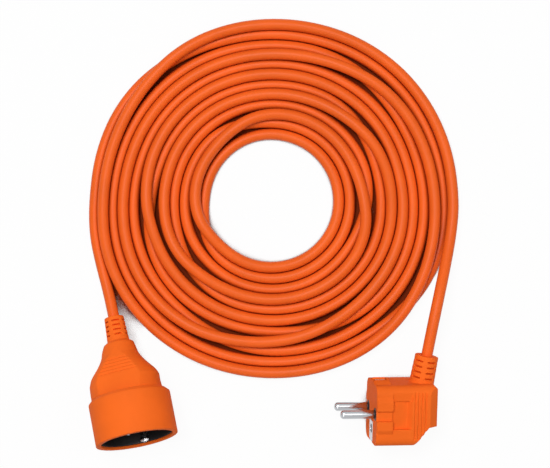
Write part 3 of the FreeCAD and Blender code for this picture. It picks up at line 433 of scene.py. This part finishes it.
def bootTree():
    # a cone along Z with its thin end at the top, and slots round it in rows
    tree = bpy.data.node_groups.new("slottedBoot", "GeometryNodeTree")
    tree.interface.new_socket("Geometry", in_out="OUTPUT", socket_type="NodeSocketGeometry")
    for name in ("Length", "Foot Radius", "Tip Radius", "First Row", "Pitch",
                 "Slot Width", "Slot Length", "Slot Depth"):
        tree.interface.new_socket(name, in_out="INPUT", socket_type="NodeSocketFloat")
    for name in ("Sides", "Rows", "Columns"):
        tree.interface.new_socket(name, in_out="INPUT", socket_type="NodeSocketInt")
    tree.interface.new_socket("Material", in_out="INPUT", socket_type="NodeSocketMaterial")
    add = tree.nodes.new
    link = tree.links.new
    given = add("NodeGroupInput").outputs

    def vector(x, y, z):
        return giveTerms(tree, add("ShaderNodeCombineXYZ"), (x, y, z))

    cone = add("GeometryNodeMeshCone")
    link(given["Sides"], cone.inputs["Vertices"])
    link(given["Tip Radius"], cone.inputs["Radius Top"])
    link(given["Foot Radius"], cone.inputs["Radius Bottom"])
    link(given["Length"], cone.inputs["Depth"])

    # a column of points on the axis, then a ring of points at the cone's radius on each
    rows = add("GeometryNodeMeshLine")
    link(given["Rows"], rows.inputs["Count"])
    link(vector(0, 0, reckoned(tree, "SUBTRACT", given["Length"], given["First Row"])),
         rows.inputs["Start Location"])
    link(vector(0, 0, reckoned(tree, "MULTIPLY", given["Pitch"], -1)), rows.inputs["Offset"])
    ring = add("GeometryNodeMeshCircle")
    link(given["Columns"], ring.inputs["Vertices"])
    place = add("GeometryNodeInputPosition")
    apart = add("ShaderNodeSeparateXYZ")
    link(place.outputs["Position"], apart.inputs["Vector"])
    radius = add("ShaderNodeMapRange")
    link(apart.outputs["Z"], radius.inputs["Value"])
    link(given["Length"], radius.inputs["From Max"])
    link(given["Foot Radius"], radius.inputs["To Min"])
    link(given["Tip Radius"], radius.inputs["To Max"])
    rings = add("GeometryNodeInstanceOnPoints")
    link(rows.outputs["Mesh"], rings.inputs["Points"])
    link(ring.outputs["Mesh"], rings.inputs["Instance"])
    link(vector(radius.outputs["Result"], radius.outputs["Result"], 1), rings.inputs["Scale"])
    marks = add("GeometryNodeRealizeInstances")
    link(rings.outputs["Instances"], marks.inputs["Geometry"])

    # a bar on each point, turned to face outwards
    outward = add("ShaderNodeVectorMath")
    outward.operation = "MULTIPLY"
    link(place.outputs["Position"], outward.inputs[0])
    outward.inputs[1].default_value = (1, 1, 0)
    facing = add("FunctionNodeAlignRotationToVector")
    facing.axis = "X"
    link(outward.outputs["Vector"], facing.inputs["Vector"])
    bar = add("GeometryNodeMeshCube")
    deep = reckoned(tree, "MULTIPLY", given["Slot Depth"], 2)
    link(vector(deep, given["Slot Length"], given["Slot Width"]), bar.inputs["Size"])
    bars = add("GeometryNodeInstanceOnPoints")
    link(marks.outputs["Geometry"], bars.inputs["Points"])
    link(bar.outputs["Mesh"], bars.inputs["Instance"])
    link(facing.outputs["Rotation"], bars.inputs["Rotation"])
    cutters = add("GeometryNodeRealizeInstances")
    link(bars.outputs["Instances"], cutters.inputs["Geometry"])

    cut = add("GeometryNodeMeshBoolean")
    cut.operation = "DIFFERENCE"
    cut.solver = "EXACT"
    link(cone.outputs["Mesh"], cut.inputs["Mesh 1"])
    link(cutters.outputs["Geometry"], cut.inputs["Mesh 2"])
    whole = add("GeometryNodeRealizeInstances")
    link(cut.outputs["Mesh"], whole.inputs["Geometry"])
    finish = add("GeometryNodeSetMaterial")
    link(whole.outputs["Geometry"], finish.inputs["Geometry"])
    link(given["Material"], finish.inputs["Material"])
    link(finish.outputs["Geometry"], add("NodeGroupOutput").inputs["Geometry"])
    return tree


slottedBoot = bootTree()


def evaluatedMesh(piece):
    return bpy.data.meshes.new_from_object(piece.evaluated_get(bpy.context.evaluated_depsgraph_get()))


def finishedMesh(name, mesh):
    data = bpy.data.meshes.new(name)
    mesh.to_mesh(data)
    mesh.free()
    return data


def bootMesh(boot, place):
    # the boot's mesh at its place, foot first
    carrier = newObject("boot", bpy.data.meshes.new("boot"))
    change = carrier.modifiers.new("slottedBoot", "NODES")
    change.node_group = slottedBoot
    sizes = {
        "Length": boot["length"] * mm, "Foot Radius": boot["footRadius"] * mm,
        "Tip Radius": boot["tipRadius"] * mm, "First Row": boot["firstRow"] * mm,
        "Pitch": boot["pitch"] * mm, "Slot Width": boot["slotWidth"] * mm,
        "Slot Length": boot["slotLength"] * mm, "Slot Depth": boot["slotDepth"] * mm,
        "Sides": boot["sides"], "Rows": boot["rows"], "Columns": boot["columns"],
        "Material": orangeMoulding,
    }
    for socket in slottedBoot.interface.items_tree:
        if socket.in_out == "INPUT":
            change[socket.identifier] = sizes[socket.name]
    mesh = evaluatedMesh(carrier)
    mesh.transform(place)
    bpy.data.objects.remove(carrier)
    return mesh


# Moulded and pressed pieces. Each starts from its solid. The copy is made again from small even
# faces and smoothed, so that edges and corners are round as on a moulding.
moulded = {  # size of the faces in mm, rounds of smoothing, share of the faces kept
    "socket_body": (0.28, 4, 0.37),
    "socket_insert": (0.34, 4, 0.7),
    "socket_earth_strap": (0.20, 3, 1.0),
    "plug_body": (0.25, 5, 0.5),
    "plug_pin_bridge": (0.30, 4, 1.0),
    "plug_earth_strap": (0.20, 3, 1.0),
    "plug_earth_sleeve": (0.22, 3, 1.0),
}


def solidCopy(nodeName):
    mesh = bmesh.new()
    mesh.from_mesh(nodes[nodeName].data)
    bmesh.ops.remove_doubles(mesh, verts=mesh.verts, dist=touching)
    return mesh


def cutAway(mesh, place):
    # takes off what is above the XY plane of a place, and closes the mesh there
    cut = bmesh.ops.bisect_plane(
        mesh, geom=mesh.verts[:] + mesh.edges[:] + mesh.faces[:], dist=touching / 10,
        plane_co=place.translation, plane_no=place.to_3x3() @ Vector((0, 0, 1)), clear_outer=True)
    edges = [item for item in cut["geom_cut"] if isinstance(item, bmesh.types.BMEdge)]
    bmesh.ops.holes_fill(mesh, edges=edges)


def mouldedPiece(name, nodeName, material, boot=None, bootFrame=None):
    faces, rounds, kept = moulded[nodeName]
    mesh = solidCopy(nodeName)
    if boot:
        cutAway(mesh, bootFrame @ along(boot["bodyTo"]))
        mesh.from_mesh(bootMesh(boot, bootFrame))
    piece = newObject(name, finishedMesh(name, mesh))
    even = piece.modifiers.new("even", "REMESH")
    even.mode = "VOXEL"
    even.voxel_size = faces * mm
    even.use_smooth_shade = True
    soft = piece.modifiers.new("soft", "SMOOTH")
    soft.factor = 0.5
    soft.iterations = rounds
    if kept < 1:
        fewer = piece.modifiers.new("fewer", "DECIMATE")
        fewer.ratio = kept
    piece.data = evaluatedMesh(piece)
    piece.modifiers.clear()
    piece.data.shade_smooth()
    coat(piece, material)
    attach(piece, "root")
    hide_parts(nodeName)
    print(name, "has", len(piece.data.polygons), "faces")
    return piece


# in the boots' own frames the foot is at zero and the thin end on top
socketBootFrame = (
    socketFrame
    @ turned("Z", -socketBoot["twist"])
    @ along(socketBoot["length"])
    @ turned("X", 180)
)
plugBootFrame = (
    reliefFrame
    @ turned("Z", plugBoot["twist"])
    @ along(plugPlace["reliefLength"] - plugBoot["length"])
)
socketBody = mouldedPiece(
    "socketBody", "socket_body", orangeMoulding, socketBoot, socketBootFrame)
socketInsert = mouldedPiece("socketInsert", "socket_insert", blackInsert)
socketEarthStrap = mouldedPiece("socketEarthStrap", "socket_earth_strap", nickel)
plugBody = mouldedPiece("plugBody", "plug_body", orangeMoulding, plugBoot, plugBootFrame)
plugPinBridge = mouldedPiece("plugPinBridge", "plug_pin_bridge", blackInsert)
plugEarthStrap = mouldedPiece("plugEarthStrap", "plug_earth_strap", nickel)
plugEarthSleeve = mouldedPiece("plugEarthSleeve", "plug_earth_sleeve", nickel)

# The socket's neck is fuller, like a bell. Swells on its two sides are given by where they are
# from the thin end, how long they are and how far out they go.
neckForm = {
    "right": [(24.5, 6.0, -1.05), (33.8, 4.0, 1.0)],  # mm
    "left": [(19.0, 3.5, 0.7), (32.0, 3.5, 1.2), (38.0, 10.0, 2.1)],
    "from": 13.5,
    "to": 44.2,
}


def shapeNeck(piece):
    back = socketFrame.inverted()
    for vertex in piece.data.vertices:
        place = back @ vertex.co
        depth = place.z / mm
        if neckForm["from"] < depth < neckForm["to"]:
            swells = neckForm["right" if place.x > 0 else "left"]
            out = sum(size * math.exp(-((depth - at) / reach) ** 2) for at, reach, size in swells)
            share = (place.x / math.hypot(place.x, place.y)) ** 2
            place.x += out * mm * share * (1 if place.x > 0 else -1)
            vertex.co = socketFrame @ place
    print("neck shaped")


shapeNeck(socketBody)

# The ends of the socket's earth strap, each a narrow spring curled in towards the recess
clip = {
    "width": 4.4,  # mm
    "thickness": 0.55,
    "cutAt": 58.0,  # from the socket's thin end; the strap ends there
    "path": [(18.1, 57.0), (18.0, 63.0), (17.4, 65.8), (16.4, 67.6), (15.3, 68.0), (14.9, 67.0),
             (15.5, 66.0)],  # out from the middle, and along
    "edge": 0.12,  # rounding
    "sharpest": 1.2,  # radians; edges that turn more than this are rounded
}


def bentStrip(side):
    # a strip bent along the path in the socket's YZ plane
    mesh = bmesh.new()
    path = [Vector(point) for point in clip["path"]]
    rings = []
    for index, point in enumerate(path):
        way = (path[min(index + 1, len(path) - 1)] - path[max(index - 1, 0)]).normalized()
        across = Vector((-way.y, way.x)) * clip["thickness"] / 2
        ring = []
        for sign, face in ((-1, 1), (1, 1), (1, -1), (-1, -1)):
            edge = point + across * face
            place = Vector((sign * clip["width"] / 2, side * edge.x, edge.y)) * mm
            ring.append(mesh.verts.new(socketFrame @ place))
        rings.append(ring)
    for first, second in zip(rings, rings[1:]):
        for corner in range(4):
            after = (corner + 1) % 4
            mesh.faces.new((first[corner], first[after], second[after], second[corner]))
    mesh.faces.new(rings[0])
    mesh.faces.new(rings[-1])
    bmesh.ops.recalc_face_normals(mesh, faces=mesh.faces)
    sharp = [edge for edge in mesh.edges if edge.calc_face_angle() > clip["sharpest"]]
    bmesh.ops.bevel(mesh, geom=sharp, offset=clip["edge"] * mm, segments=2, affect="EDGES")
    bmesh.ops.subdivide_edges(mesh, edges=mesh.edges, cuts=1, smooth=0.5)
    return finishedMesh("clip", mesh)


def addClips(piece):
    mesh = bmesh.new()
    mesh.from_mesh(piece.data)
    cutAway(mesh, socketFrame @ along(clip["cutAt"]))
    for side in (1, -1):
        mesh.from_mesh(bentStrip(side))
    mesh.to_mesh(piece.data)
    mesh.free()
    piece.data.shade_smooth()
    print("clips bent")


addClips(socketEarthStrap)

# Pins, turned on a lathe, with rounded ends
pins = {
    "radius": 2.4,  # mm
    "reach": 19.0,
    "shank": 2.1,  # radius inside the plug
    "shankEnd": -12.0,
    "shankBevel": 0.3,
    "shoulder": 0.2,  # half the length of the step from shank to pin
    "nose": 2.0,  # length of the rounded end
    "noseSteps": 8,
    "noseForm": 0.8,  # blunter below 1
    "across": {"plug_line_pin": 9.5, "plug_neutral_pin": -9.5},
    "segments": 48,
}


def pinProfile():
    # radius and place along the pin, from the shank's end to the tip
    low = pins["shankEnd"]
    profile = [
        (0, low), (pins["shank"] - pins["shankBevel"], low), (pins["shank"], low + pins["shankBevel"]),
        (pins["shank"], -pins["shoulder"]), (pins["radius"], pins["shoulder"]),
    ]
    for step in range(pins["noseSteps"]):
        angle = math.pi / 2 * step / pins["noseSteps"]
        profile.append((
            pins["radius"] * math.cos(angle) ** pins["noseForm"],
            pins["reach"] - pins["nose"] + pins["nose"] * math.sin(angle),
        ))
    profile.append((0, pins["reach"]))
    return profile


def makePin(name, nodeName):
    mesh = bmesh.new()
    verts = [mesh.verts.new((radius * mm, 0, height * mm)) for radius, height in pinProfile()]
    edges = [mesh.edges.new(pair) for pair in zip(verts, verts[1:])]
    bmesh.ops.spin(mesh, geom=verts + edges, cent=(0, 0, 0), axis=(0, 0, 1), angle=2 * math.pi,
                   steps=pins["segments"], use_duplicate=False)
    bmesh.ops.remove_doubles(mesh, verts=mesh.verts, dist=touching)
    bmesh.ops.recalc_face_normals(mesh, faces=mesh.faces)
    bmesh.ops.transform(mesh, verts=mesh.verts,
                        matrix=plugFrame @ Matrix.Translation((pins["across"][nodeName] * mm, 0, 0)))
    piece = newObject(name, finishedMesh(name, mesh))
    piece.data.shade_smooth()
    coat(piece, nickel)
    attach(piece, "root")
    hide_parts(nodeName)
    return piece


plugLinePin = makePin("plugLinePin", "plug_line_pin")
plugNeutralPin = makePin("plugNeutralPin", "plug_neutral_pin")
print("pins turned")

# Finishes of the nodes that stay as they are
finishes = {
    "plug_cord_end": orangeSheath, "plug_line_core": brownCore, "plug_neutral_core": blueCore,
    "plug_earth_core": earthCore, "socket_contact_base": blackInsert,
    "socket_line_contact": brass, "socket_neutral_contact": brass,
    "socket_cord_end": orangeSheath, "socket_line_core": brownCore,
    "socket_neutral_core": blueCore, "socket_earth_core": earthCore,
}
for nodeName, finish in finishes.items():
    coat(nodes[nodeName], finish)
coat(cordPiece, orangeSheath)
print("solids coated")

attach(cordPiece, "root")
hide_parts("cord_socket_lead", "cord_coil", "cord_plug_lead")
plugPieces = [plugBody, plugPinBridge, plugEarthStrap, plugEarthSleeve, plugLinePin, plugNeutralPin]
plugPieces += [nodes[name] for name in finishes if name.startswith("plug_")]

# Floor, lamps and background
studio = {
    "floor": 6.0,  # metres
    "pale": (0.8, 0.8, 0.8),
    "floorGlow": 0.94,  # share of plain white that the camera sees in the open floor
    "shade": (0.16, 0.022, 0.006),  # of the floor deep between two strands
    "shadeReach": 13.0,  # mm, how far round a point of the floor strands are looked for
    "shadeRange": (0.46, 0.56),  # how open a place in shade and a place in the light is
    "background": 1.0,
    "fill": 0.22,
    "aim": 20.0,  # mm from the coil's middle towards the connectors
    "lamps": [  # place, size and power
        ((-0.3, 0.5, 1.9), 0.8, 28.0),
        ((0.9, 0.3, 1.7), 1.0, 5.0),
        ((-0.4, -1.0, 1.6), 1.0, 4.0),
    ],
}


def seenRays(material):
    # 1 for the rays that go to the camera, straight or by a shiny or clear surface
    path = addNode(material, "ShaderNodeLightPath")
    total = path.outputs["Is Camera Ray"]
    for name in ("Is Glossy Ray", "Is Transmission Ray"):
        total = reckoned(material.node_tree, "MAXIMUM", total, path.outputs[name])
    return total


def floorMaterial():
    material, shader = newMaterial("paleFloor", studio["pale"], 1.0)
    shader.inputs["Specular IOR Level"].default_value = 0.0
    tree = material.node_tree
    clear = opened(material, studio["shadeReach"] * mm, studio["shadeRange"])
    tint = colourMix(material, clear, studio["shade"])
    tint.inputs["B"].default_value = (*studio["pale"], 1)
    tree.links.new(tint.outputs["Result"], shader.inputs["Base Color"])
    # no glow in the narrow gaps between strands, where a real floor is dark
    glow = addNode(material, "ShaderNodeEmission", Strength=1.0)
    glowing = reckoned(tree, "MULTIPLY", clear, studio["floorGlow"])
    mix = addNode(material, "ShaderNodeMixShader")
    tree.links.new(reckoned(tree, "MULTIPLY", seenRays(material), glowing), mix.inputs["Fac"])
    tree.links.new(shader.outputs["BSDF"], mix.inputs[1])
    tree.links.new(glow.outputs["Emission"], mix.inputs[2])
    tree.links.new(mix.outputs["Shader"], tree.nodes["Material Output"].inputs["Surface"])
    return material


def makeFloor():
    mesh = bpy.data.meshes.new("floor")
    half = studio["floor"] / 2
    corners = [(-half, -half, 0), (half, -half, 0), (half, half, 0), (-half, half, 0)]
    mesh.from_pydata(corners, [], [(0, 1, 2, 3)])
    floor = newObject("floor", mesh)
    coat(floor, floorMaterial())


def makeLamps():
    target = Vector((cord["middle"][0], cord["middle"][1] - studio["aim"], 0)) * mm
    for index, (place, size, power) in enumerate(studio["lamps"]):
        data = bpy.data.lights.new("lamp%d" % index, "AREA")
        data.shape = "DISK"
        data.size = size
        data.energy = power
        lamp = newObject("lamp%d" % index, data)
        lamp.location = place
        lamp.rotation_euler = (target - Vector(place)).to_track_quat("-Z", "Y").to_euler()


def makeWorld():
    world = bpy.data.worlds.new("studio")
    bpy.context.scene.world = world
    world.use_nodes = True
    links = world.node_tree.links
    back = world.node_tree.nodes["Background"]
    back.inputs["Color"].default_value = (1, 1, 1, 1)
    back.inputs["Strength"].default_value = studio["fill"]
    bright = addNode(world, "ShaderNodeBackground", Strength=studio["background"])
    mix = addNode(world, "ShaderNodeMixShader")
    links.new(seenRays(world), mix.inputs["Fac"])
    links.new(back.outputs["Background"], mix.inputs[1])
    links.new(bright.outputs["Background"], mix.inputs[2])
    links.new(mix.outputs["Shader"], world.node_tree.nodes["World Output"].inputs["Surface"])


makeFloor()
makeLamps()
makeWorld()
bpy.context.scene.view_settings.view_transform = "Standard"
print("studio lit")
